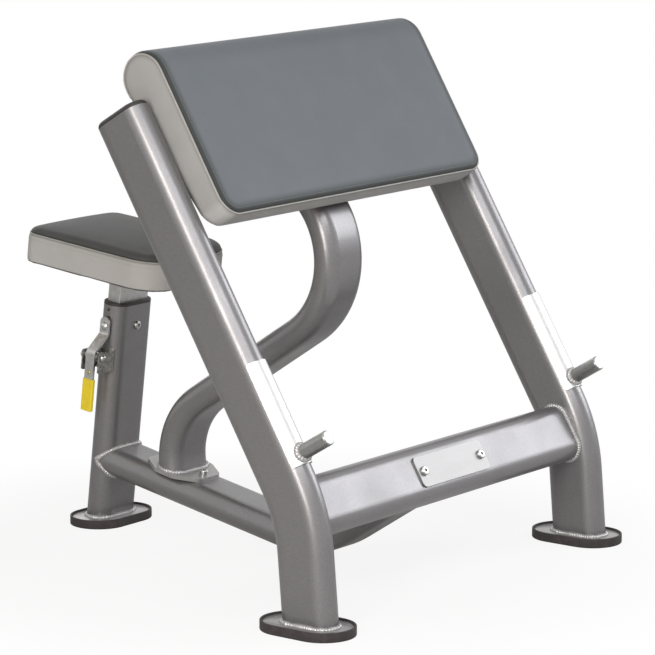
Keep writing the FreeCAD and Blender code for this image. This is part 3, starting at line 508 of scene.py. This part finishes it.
def arm_pad():
    """Arm pad's cover: a wedge under a round roll, drawn in section and extruded across."""
    shape = bmesh.new()
    low_front = shape.verts.new((-PAD_HALF, -PAD_FRONT, PAD_LOW))
    roll_start = shape.verts.new((-PAD_HALF, -PAD_FRONT, PAD_ROLL_Z))
    low_back = shape.verts.new((-PAD_HALF, PAD_LOW_BACK, PAD_LOW))
    centre = Vector((-PAD_HALF, PAD_ROLL_Y, PAD_ROLL_Z))
    to_back = centre - low_back.co
    back_turn = math.asin(PAD_ROLL / to_back.length) + math.atan2(to_back.y, to_back.z)
    turned = bmesh.ops.spin(shape, geom=[roll_start], cent=centre, axis=-ACROSS, angle=math.pi + back_turn,
                            steps=14)
    roll_end = verts_among(turned["geom_last"])[0]
    for pair in ((low_front, roll_start), (roll_end, low_back), (low_back, low_front)):
        shape.edges.new(pair)
    bmesh.ops.contextual_create(shape, geom=shape.edges[:])
    draw_out(shape, shape.faces[:], (2 * PAD_HALF, 0, 0))
    face_out(shape)
    ends = [e for e in shape.edges if all(v.co.z < PAD_LOW + MM for v in e.verts)
            and abs(e.verts[0].co.x - e.verts[1].co.x) < MM]
    round_off(shape, ends, PAD_CORNER, 8)
    rims = [e for e in shape.edges if e.calc_face_angle(0) > 0.9]
    round_off(shape, rims, PAD_RIM, 4)
    bmesh.ops.triangulate(shape, faces=shape.faces[:])

    def pull(spot):
        """Front panel crowned inside its seam."""
        ahead = ease(-spot.y, -PAD_ROLL_Y, PAD_FRONT)
        ahead *= 1 - ease(spot.z, PAD_ROLL_Z - PAD_ROLL, PAD_ROLL_Z + PAD_ROLL)
        out = PAD_CROWN * ahead * ease(-pad_seam_gap(spot), 0.0, 60 * MM)
        return Vector((spot.x, spot.y - out, spot.z))

    def held(spot):
        """The band, the seam, the roll and the back are held by the board; the panel is free."""
        free = ease(-pad_seam_gap(spot), 2 * MM, 30 * MM)
        free *= 1 - ease(spot.z, PAD_ROLL_Z - 40 * MM, PAD_ROLL_Z)
        return 1.0 - free * ease(-spot.y, 70 * MM, 85 * MM)

    def crease(spot):
        """Drawn in at the seam, and under the board, which lies in the cover's back."""
        back = spot - Vector((spot.x, PAD_LOW_BACK, PAD_LOW))
        behind = back.y * math.cos(back_turn) - back.z * math.sin(back_turn)
        up = back.y * math.sin(back_turn) + back.z * math.cos(back_turn)
        inset = rounded_inset(PAD_HALF - abs(spot.x), up, PAD_CORNER)
        under_board = ease(behind, -1.5 * MM, -0.3 * MM) * ease(inset, PAD_RIM, PAD_RIM + 7 * MM)
        under_board *= 1 - ease(up, PAD_BOARD_TOP, PAD_BOARD_TOP + 7 * MM)
        sewn_in = groove(pad_seam_gap(spot), 1.6 * MM, 3.5 * MM)
        return sewn_in * (1 - under_board) + BOARD_DIP * under_board

    piece = stuffed("arm_pad_cover", shape, 6 * MM, held, pull, 6 * MM)
    skin = finish_cushion(piece, PAD_PLACE, crease, pad_vinyl)
    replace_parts(piece, "arm_pad_cushion")
    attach(piece, "frame")
    return skin


def seat_pad():
    """Seat's cover: a block that narrows ahead, with round corners and a crowned top."""
    shape = bmesh.new()
    outline = [shape.verts.new(spot) for spot in (
        (SEAT_REAR_HALF, SEAT_BACK, SEAT_LOW), (-SEAT_REAR_HALF, SEAT_BACK, SEAT_LOW),
        (-SEAT_FRONT_HALF, SEAT_AHEAD, SEAT_LOW), (SEAT_FRONT_HALF, SEAT_AHEAD, SEAT_LOW))]
    shape.faces.new(outline)
    draw_out(shape, shape.faces[:], (0, 0, SEAT_BAND + SEAT_SHOULDER))
    face_out(shape)
    for ahead, corner in ((False, SEAT_REAR_CORNER), (True, SEAT_FRONT_CORNER)):
        posts = [e for e in shape.edges if abs(e.verts[0].co.z - e.verts[1].co.z) > 20 * MM
                 and (e.verts[0].co.y < 0) == ahead and e.calc_face_angle(0) > 1.0]
        round_off(shape, posts, corner, 10)
    upper = [e for e in shape.edges if all(v.co.z > SEAT_SEAM for v in e.verts) and e.calc_face_angle(0) > 1.0]
    round_off(shape, upper, 12 * MM, 4)
    lower = [e for e in shape.edges if all(v.co.z < SEAT_LOW + MM for v in e.verts)
             and e.calc_face_angle(0) > 1.0]
    round_off(shape, lower, 3 * MM, 2)
    bmesh.ops.triangulate(shape, faces=shape.faces[:])

    def pull(spot):
        """Crowned top."""
        high = crown(spot.x, -SEAT_REAR_HALF, SEAT_REAR_HALF) * crown(spot.y, SEAT_AHEAD, SEAT_BACK)
        rise = max(0.0, spot.z - SEAT_SEAM) / SEAT_SHOULDER
        return Vector((spot.x, spot.y, spot.z + SEAT_CROWN * high ** 0.35 * rise))

    def held(spot):
        """The band is held by the board and the seam; the top is free."""
        return 1.0 - ease(spot.z, SEAT_SEAM + MM, SEAT_SEAM + 8 * MM)

    def crease(spot):
        """Drawn in at the seam, and under the board, which lies in the cover's underside."""
        widen = (SEAT_REAR_HALF - SEAT_FRONT_HALF) / (SEAT_BACK - SEAT_AHEAD)
        beside = SEAT_FRONT_HALF + widen * (spot.y - SEAT_AHEAD) - abs(spot.x)
        inset = min(rounded_inset(beside, SEAT_BACK - spot.y, SEAT_REAR_CORNER),
                    rounded_inset(beside, spot.y - SEAT_AHEAD, SEAT_FRONT_CORNER))
        under_board = ease(SEAT_LOW - spot.z, -0.8 * MM, -0.2 * MM) * ease(inset, 3 * MM, 9 * MM)
        return groove(spot.z - SEAT_SEAM, 1.4 * MM, 3 * MM) + BOARD_DIP * under_board

    piece = stuffed("seat_cover", shape, 4.5 * MM, held, pull, 5 * MM)
    skin = finish_cushion(piece, POST_PLACE, crease, seat_vinyl)
    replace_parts(piece, "seat_cushion")
    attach(piece, "seat")
    return skin


# Welts and stitching

def strand(name, runs, thickness, body, slot, material):
    """Round strands through runs of (point, radius share), closed where a run ends where it starts."""
    data = bpy.data.curves.new(name, "CURVE")
    data.dimensions = "3D"
    data.bevel_depth = thickness / 2
    data.bevel_resolution = 2
    data.use_fill_caps = True
    for run in runs:
        closed = len(run) > 3 and (run[0][0] - run[-1][0]).length < 0.01 * MM
        spots = run[:-1] if closed else run
        spline = data.splines.new("POLY")
        spline.points.add(len(spots) - 1)
        for point, (spot, share) in zip(spline.points, spots):
            point.co = (*spot, 1)
            point.radius = share
        spline.use_cyclic_u = closed
        spline.use_smooth = True
    return place_piece(name, data, body, slot, material)


def stations(path, spacing):
    """Points at even distances along a path of points."""
    lengths = [(b - a).length for a, b in zip(path, path[1:])]
    count = max(2, round(sum(lengths) / spacing))
    step = sum(lengths) / count
    spots = [path[0]]
    gone = 0.0
    for a, b, length in zip(path, path[1:], lengths):
        while len(spots) < count and gone + length >= step * len(spots):
            spots.append(a.lerp(b, (step * len(spots) - gone) / length))
        gone += length
    return spots + [path[-1]]


def pad_seam_path(inset):
    """Rays (start, way) onto the pad along its seam, moved onto the panel by inset."""
    half = PAD_SEAM_HALF - inset
    corner = PAD_CORNER - inset
    low = PAD_SEAM_LOW + inset
    ahead, reach, sweep = -0.3, 0.2, 200
    roll_steps, side_steps, corner_steps, low_steps = 32, 114, 16, 160
    rays = []
    for step in range(roll_steps + 1):
        turn = math.radians(sweep - sweep * step / roll_steps)
        way = Vector((0, -math.cos(turn), math.sin(turn)))
        rays.append((Vector((-half, PAD_ROLL_Y, PAD_ROLL_Z)) + way * reach, -way))
    flat = [Vector((-half, ahead, PAD_ROLL_Z - step * 2 * MM)) for step in range(1, side_steps + 1)]
    for step in range(corner_steps + 1):
        turn = math.radians(90 * step / corner_steps)
        flat.append(Vector((-half + corner - corner * math.cos(turn), ahead,
                            low + corner - corner * math.sin(turn))))
    middle = half - corner
    flat += [Vector((-middle + middle * step / low_steps, ahead, low)) for step in range(1, low_steps + 1)]
    rays += [(spot, BACK) for spot in flat]
    mirrored = [(Vector((-s.x, s.y, s.z)), way) for s, way in reversed(rays[:-1])]
    return rays + mirrored


def seat_seam_path(height):
    """Rays onto the seat's side all round at a height."""
    steps, reach = 240, 0.4
    middle = Vector((0, (SEAT_BACK + SEAT_AHEAD) / 2, height))
    rays = []
    for step in range(steps + 1):
        turn = 2 * math.pi * step / steps
        way = Vector((math.cos(turn), math.sin(turn), 0))
        rays.append((middle + way * reach, -way))
    return rays


def on_skin(skin, rays, lift, place):
    """Where rays meet a cushion in its own axes, lifted off it and put in place."""
    hits = [skin.ray_cast(start, way)[:2] for start, way in rays]
    return [place @ (spot + normal * lift) for spot, normal in hits if spot is not None]


def sewn(path, pitch, length):
    """Separate stitches along a path."""
    runs = []
    spots = stations(path, pitch)
    for a, b in zip(spots, spots[1:]):
        way = (b - a).normalized()
        middle = (a + b) / 2
        runs.append([(middle - way * length / 2, 0.6), (middle, 1.0), (middle + way * length / 2, 0.6)])
    return runs


def piped(path):
    """One even strand along a path."""
    return [[(spot, 1.0) for spot in stations(path, 4 * MM)]]


def pad_trim(skin):
    welt = on_skin(skin, pad_seam_path(0), 0.3 * MM, PAD_PLACE)
    strand("arm_pad_welt", piped(welt), 2.6 * MM, "frame", "pad_vinyl", welt_vinyl)
    line = on_skin(skin, pad_seam_path(8 * MM), 0.15 * MM, PAD_PLACE)
    strand("arm_pad_stitching", sewn(line, 4.5 * MM, 3.4 * MM), 0.9 * MM, "frame", "pad_vinyl", grey_thread)


def seat_trim(skin):
    welt = on_skin(skin, seat_seam_path(SEAT_SEAM), 0.3 * MM, POST_PLACE)
    strand("seat_welt", piped(welt), 2.4 * MM, "seat", "seat_vinyl", welt_vinyl)
    line = on_skin(skin, seat_seam_path(SEAT_SEAM - 9 * MM), 0.15 * MM, POST_PLACE)
    strand("seat_stitching", sewn(line, 4.5 * MM, 3.4 * MM), 0.9 * MM, "seat", "seat_vinyl", pale_thread)


# Feet: a rubber cup and the welded plate that sits in it
FOOT_LONG = 0.167
FOOT_WIDE = 0.106
CUP_HIGH = 0.016
CUP_DEEP = 0.010
CUP_WALL = 0.004
FOOT_FIT = 0.0003
PLATE_TOP = 0.013


def rounded_slab(length, width, low, high):
    """Slab with half-round ends, lengthways along X, between two heights."""
    slab = bmesh.new()
    corners = [slab.verts.new((x * length / 2, y * width / 2, low))
               for x, y in ((1, 1), (-1, 1), (-1, -1), (1, -1))]
    slab.faces.new(corners)
    round_off(slab, corners, width / 2 - 0.01 * MM, 14, "VERTICES")
    bmesh.ops.remove_doubles(slab, verts=slab.verts[:], dist=0.1 * MM)
    draw_out(slab, slab.faces[:], (0, 0, high - low))
    face_out(slab)
    return slab


def at_height(shape, height):
    """Sharp edges of a shape at a height."""
    return [e for e in shape.edges if all(abs(v.co.z - height) < 0.1 * MM for v in e.verts)
            and e.calc_face_angle(0) > 1.0]


def sink(shape, faces, depth):
    """Lowers faces into a shape, with walls down to them."""
    draw_out(shape, faces, (0, 0, -depth))
    bmesh.ops.delete(shape, geom=faces, context="FACES_ONLY")


def foot(side, place, turn):
    """Rubber cup and plate of one foot."""
    cup = rounded_slab(FOOT_LONG, FOOT_WIDE, 0.0, CUP_HIGH)
    top = [face for face in cup.faces if face.normal.z > 0.9]
    bmesh.ops.inset_region(cup, faces=top, thickness=CUP_WALL)
    sink(cup, top, CUP_DEEP)
    round_off(cup, at_height(cup, 0.0) + at_height(cup, CUP_HIGH), 1.4 * MM, 3)
    narrower = 2 * (CUP_WALL + FOOT_FIT)
    plate = rounded_slab(FOOT_LONG - narrower, FOOT_WIDE - narrower, CUP_HIGH - CUP_DEEP, PLATE_TOP)
    round_off(plate, at_height(plate, PLATE_TOP), 0.8 * MM, 2)
    for shape, name, node, slot, material in (
            (cup, side + "_foot_cup", side + "_rubber_foot", "foot_rubber", rubber),
            (plate, side + "_foot_base", side + "_foot_plate", "frame_paint", lit_plate_paint)):
        bmesh.ops.rotate(shape, verts=shape.verts[:], matrix=Matrix.Rotation(turn, 3, "Z"))
        bmesh.ops.translate(shape, verts=shape.verts[:], vec=place)
        face_out(shape)
        mesh = as_mesh(name, shape)
        mesh.shade_smooth()
        mesh.set_sharp_from_angle(angle=math.radians(32))
        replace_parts(place_piece(name, mesh, "frame", slot, material), node)


# Screws

def socket_screws(name, node, seats, way, width, height, socket):
    """Round screw heads with hexagon sockets, standing on their seats along way."""
    head = bmesh.new()
    bmesh.ops.create_circle(head, cap_ends=True, segments=24, radius=width / 2)
    draw_out(head, head.faces[:], (0, 0, height))
    face_out(head)
    round_off(head, at_height(head, height), width * 0.14, 4)
    top = [face for face in head.faces if face.normal.z > 0.99 and len(face.verts) > 4]
    bmesh.ops.inset_region(head, faces=top, thickness=width * 0.08)
    for corner in top[0].verts:
        turn = math.atan2(corner.co.y, corner.co.x)
        reach = socket / 2 / math.cos(turn % math.radians(60) - math.radians(30))
        corner.co = (reach * math.cos(turn), reach * math.sin(turn), height)
    sink(head, top, height * 0.75)
    head.transform(Matrix.Translation(seats[0]) @ way.to_track_quat("Z", "Y").to_matrix().to_4x4())
    first = head.verts[:] + head.edges[:] + head.faces[:]
    for seat in seats[1:]:
        copied = bmesh.ops.duplicate(head, geom=first)
        bmesh.ops.translate(head, verts=verts_among(copied["geom"]), vec=seat - seats[0])
    face_out(head)
    mesh = as_mesh(name, head)
    mesh.shade_smooth()
    mesh.set_sharp_from_angle(angle=math.radians(40))
    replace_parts(place_piece(name, mesh, "frame", "zinc_plate", zinc), node)


def frame_screws():
    plate = LEG_WAY * -0.02328 + LEG_FRONT * 0.43634
    plate_seats = [plate + ACROSS * beside for beside in (-0.080, 0.080)]
    socket_screws("plate_screw_heads", "name_plate_screws", plate_seats, LEG_FRONT, 16 * MM, 5 * MM, 6 * MM)
    post_seat = POST_PLACE @ Vector((0, -TUBE_NARROW / 2, 0.367))
    socket_screws("post_screw_head", "bushing_screw", [post_seat], -POST_BACK, 15 * MM, 5 * MM, 6 * MM)
    flange_seats = [BEAM_TOP * 0.08355 + BEAM_WAY * along for along in (0.16505, 0.25605)]
    socket_screws("flange_screw_heads", "flange_bolts", flange_seats, BEAM_TOP, 14.5 * MM, 8 * MM, 6.5 * MM)


# Weld beads
PEG_RADIUS = 0.0125
PEG_UP_LEG = 0.086
SADDLE_RADIUS = 0.028


def circle_turns(steps):
    """Angles of a full turn in even steps, the first one again at the end."""
    return [2 * math.pi * step / steps for step in range(steps + 1)]


def oval(place, wide_way, narrow_way, wide=TUBE_WIDE, narrow=TUBE_NARROW):
    """Points round a flat-oval tube's outline."""
    spots = []
    for turn in circle_turns(48):
        end = math.copysign((wide - narrow) / 2, math.cos(turn)) if abs(math.cos(turn)) > 1e-9 else 0.0
        beside = end + narrow / 2 * math.cos(turn)
        spots.append(place + wide_way * beside + narrow_way * (narrow / 2 * math.sin(turn)))
    return spots


def peg_outline(side):
    """Points round a peg where it leaves the curved saddle."""
    spots = []
    for turn in circle_turns(32):
        beside = PEG_RADIUS * math.cos(turn)
        out = TUBE_FLAT_HALF + math.sqrt(SADDLE_RADIUS ** 2 - beside ** 2)
        up = PEG_UP_LEG + PEG_RADIUS * math.sin(turn)
        spots.append(LEG_BEND + LEG_FRONT * out + LEG_WAY * up + ACROSS * (side * LEG_X + beside))
    return spots


def beam_end():
    """Points round the base beam where it meets the round side of the post."""
    spots = []
    for spot in oval(Vector((0, 0, 0)), ACROSS, BEAM_TOP):
        past = max(abs(spot.x) - TUBE_FLAT_HALF, 0.0)
        depth = math.sqrt(max((TUBE_NARROW / 2) ** 2 - past ** 2, 0.0))
        short = (-depth - spot.dot(POST_BACK)) / BEAM_WAY.dot(POST_BACK)
        spots.append(BEAM_REAR + spot + BEAM_WAY * short)
    return spots


def weld_paths():
    paths = []
    for side in (-1, 1):
        leg_foot = Vector((side * LEG_X, -0.3864, PLATE_TOP))
        crossbeam_end = Vector((side * 0.360, -0.36168, 0.19099))
        paths.append(oval(leg_foot, BACK, ACROSS))
        paths.append(oval(crossbeam_end, LEG_WAY, LEG_FRONT))
        paths.append(peg_outline(side))
        mount_plate = [Vector((side * 0.033, 0.0096, up)) for up in (0.050, 0.187)]
        bracket = [Vector((-0.0486, side * 0.013, up)) for up in (0.289, 0.326)]
        paths.append([PLATE_PLACE @ spot for spot in mount_plate])
        paths.append([POST_PLACE @ spot for spot in bracket])
    post_foot = Vector((0, 0.36345, PLATE_TOP))
    beam_front = Vector((0, -0.3438, 0.1723))
    flange = Vector((0, 0.1930, 0.1223))
    paths.append(oval(post_foot, ACROSS, BACK, narrow=0.0503))
    paths.append(oval(beam_front, ACROSS, LEG_WAY))
    paths.append(oval(flange, ACROSS, BEAM_WAY, narrow=0.0522))
    paths.append(beam_end())
    return paths


def bead(path):
    """Uneven ripples of a weld bead along a path, one station each millimetre."""
    run = []
    for i, spot in enumerate(stations(path, MM)):
        swell = 0.12 * math.sin(0.21 * i + 1.9 * math.sin(0.083 * i))
        ripple = 0.11 * math.sin(1.55 * i + 1.2 * math.sin(0.19 * i))
        run.append((spot, 1.0 + swell + ripple))
    return run


def welds():
    strand("weld_beads", [bead(path) for path in weld_paths()], 10 * MM, "frame", "frame_paint", lit_bead_paint)
    corners = ((-38, -14), (38, -14), (38, 14), (-38, 14), (-38, -14))
    under_seat = [POST_PLACE @ Vector((x * MM, y * MM, 455.5 * MM)) for x, y in corners]
    strand("seat_weld", [bead(under_seat)], 6 * MM, "seat", "frame_paint", lit_bead_paint)


def lever_rivet():
    """Domed rivet head on the lever's outer face."""
    head = bmesh.new()
    bmesh.ops.create_uvsphere(head, u_segments=20, v_segments=10, radius=3 * MM)
    bmesh.ops.scale(head, vec=(0.55, 1, 1), verts=head.verts[:])
    spot = POST_PLACE @ Vector((-0.090, 0, 0.288))
    bmesh.ops.translate(head, vec=spot, verts=head.verts[:])
    mesh = as_mesh("lever_rivet", head)
    mesh.shade_smooth()
    place_piece("lever_rivet", mesh, "lever", "zinc_plate", brass)


# Camera, floor and light

def photo_camera():
    lens = bpy.data.cameras.new("photo_camera")
    lens.lens = 194.65
    lens.sensor_width = 36.0
    camera = bpy.data.objects.new("photo_camera", lens)
    scene.collection.objects.link(camera)
    right = Vector((0.6065, -0.7951, 0.0))
    upward = Vector((0.1438, 0.1097, 0.9836))
    backward = Vector((-0.7820, -0.5965, 0.1809))
    pose = Matrix((right, upward, backward)).transposed().to_4x4()
    pose.translation = Vector((-4.674, -3.6915, 1.485))
    camera.matrix_world = pose
    scene.camera = camera


def studio_floor():
    # Seamless paper: near white, fading into the white backdrop away from the bench. In paint and
    # plating it shows a painted reflection, a glow brightest on the side where the lamps stand.
    sheet = bmesh.new()
    bmesh.ops.create_grid(sheet, x_segments=1, y_segments=1, size=14.0)
    mesh = as_mesh("studio_floor", sheet)
    floor = bpy.data.objects.new("studio_floor", mesh)
    scene.collection.objects.link(floor)
    material, tree, shader, where = finish("white_paper", Base_Color=srgb("#F2F1EF"), Roughness=0.9,
                                           Specular_IOR_Level=0.1)
    far = add(tree, "VectorMath", {0: where}, operation="LENGTH").outputs["Value"]
    fade = ramp(tree, far, 0.45, 0.9, 0.88, 1.0, smooth=True)
    axes = add(tree, "SeparateXYZ", {0: where}).outputs
    # Painted reflection: mirrored rays see the paper glow, more towards the front.
    reflected_glow = ramp(tree, axes[1], -0.9, -0.1, 0.48, 0.08, smooth=True)
    ray = add(tree, "LightPath").outputs
    mirrored = reckon(tree, "MULTIPLY", reflected_glow, ray["Is Glossy Ray"])
    seen = reckon(tree, "MAXIMUM", ray["Is Camera Ray"], mirrored)
    share = reckon(tree, "MULTIPLY", fade, seen)
    white = add(tree, "Emission", {"Color": srgb("#FFFFFF"), "Strength": 1.0})
    both = add(tree, "MixShader", {0: share, 1: shader.outputs[0], 2: white.outputs[0]})
    tree.links.new(both.outputs[0], tree.nodes["Material Output"].inputs["Surface"])
    mesh.materials.append(material)


def backdrop():
    """White to the camera and in reflections, and a faint even light for the rest."""
    world = bpy.data.worlds.new("white_backdrop")
    scene.world = world
    world.use_nodes = True
    tree = world.node_tree
    tree.nodes.clear()
    ray = add(tree, "LightPath").outputs
    soft = add(tree, "Background", {"Color": srgb("#FFFFFF"), "Strength": 0.06})
    white = add(tree, "Background", {"Color": srgb("#FFFFFF"), "Strength": 1.0})
    seen = reckon(tree, "MAXIMUM", ray["Is Camera Ray"], ray["Is Glossy Ray"])
    both = add(tree, "MixShader", {0: seen, 1: soft.outputs[0], 2: white.outputs[0]})
    add(tree, "OutputWorld", {"Surface": both.outputs[0]})


def softbox(name, place, aim, wide, tall, watts, colour):
    lamp = bpy.data.lights.new(name, "AREA")
    lamp.shape = "RECTANGLE"
    lamp.size = wide
    lamp.size_y = tall
    lamp.energy = watts
    lamp.color = srgb(colour)[:3]
    light = bpy.data.objects.new(name, lamp)
    scene.collection.objects.link(light)
    light.location = place
    light.rotation_euler = (Vector(aim) - Vector(place)).to_track_quat("-Z", "Y").to_euler()


def studio_light():
    softbox("left_box", (-3.5, -1.2, 1.55), (0, 0, 0.45), 0.9, 2.0, 72, "#FFFAF5")
    softbox("front_left_box", (-2.5, -2.2, 2.4), (-0.2, 0, 0.45), 1.4, 1.2, 23, "#FFFFFF")
    softbox("front_box", (-1.1, -2.8, 2.7), (-0.1, 0, 0.45), 1.6, 1.0, 26, "#F8FAFF")
    softbox("top_box", (0.0, -0.3, 4.0), (0, 0, 0), 2.4, 2.4, 6, "#FFFFFF")
    softbox("right_box", (3.3, -2.1, 2.0), (0, -0.2, 0.3), 2.2, 1.8, 57, "#F8FAFF")
    softbox("back_box", (1.6, 3.6, 2.2), (0, 0, 0.45), 2.4, 2.0, 19, "#FFFFFF")


photo_camera()
studio_floor()
backdrop()
studio_light()
pad_trim(arm_pad())
seat_trim(seat_pad())
foot("left", Vector((-LEG_X, -0.381, 0)), math.radians(90))
foot("right", Vector((LEG_X, -0.381, 0)), math.radians(90))
foot("rear", Vector((0, 0.361, 0)), 0.0)
frame_screws()
welds()
lever_rivet()
